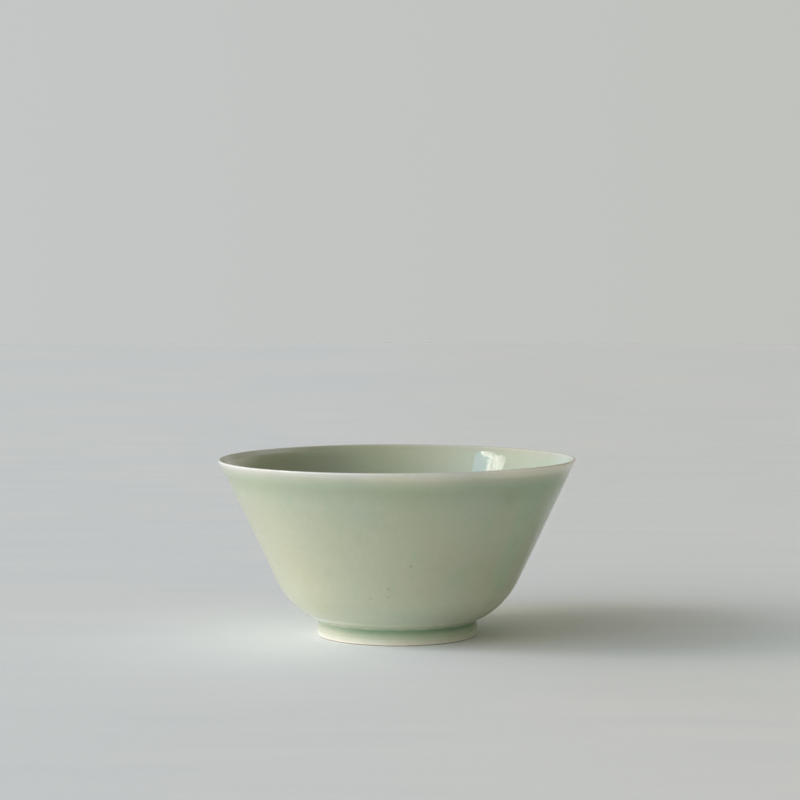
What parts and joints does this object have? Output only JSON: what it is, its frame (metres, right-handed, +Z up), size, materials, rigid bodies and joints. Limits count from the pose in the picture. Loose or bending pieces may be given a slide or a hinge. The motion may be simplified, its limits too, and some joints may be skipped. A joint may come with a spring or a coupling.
{
  "type": "rice bowl",
  "caption": "Small footed bowl with a rounded hip and a straight flaring wall, for rice or other food, in pale green glazed porcelain.",
  "frame": {"origin": "centre of the foot ring, on the surface the bowl stands on", "axes": "+Z up along the axis the bowl is turned about; the bowl is round, so X and Y are any two directions across it"},
  "size_m": [0.121, 0.121, 0.0601],
  "materials": {
    "bare_porcelain": "fired white clay, wiped smooth, matt",
    "outer_celadon": "satin gloss pale green glaze, thin and whitish at the lip, pooled darker over the foot ring",
    "inner_celadon": "gloss pale green glaze",
    "well_celadon": "gloss pale green glaze, a little darker in the corner"
  },
  "bodies": {
    "root": {"porcelain_body": "bare_porcelain", "outer_glaze": "outer_celadon", "inner_glaze": "inner_celadon", "foot_well_glaze": "well_celadon"}
  },
  "joints": []
}
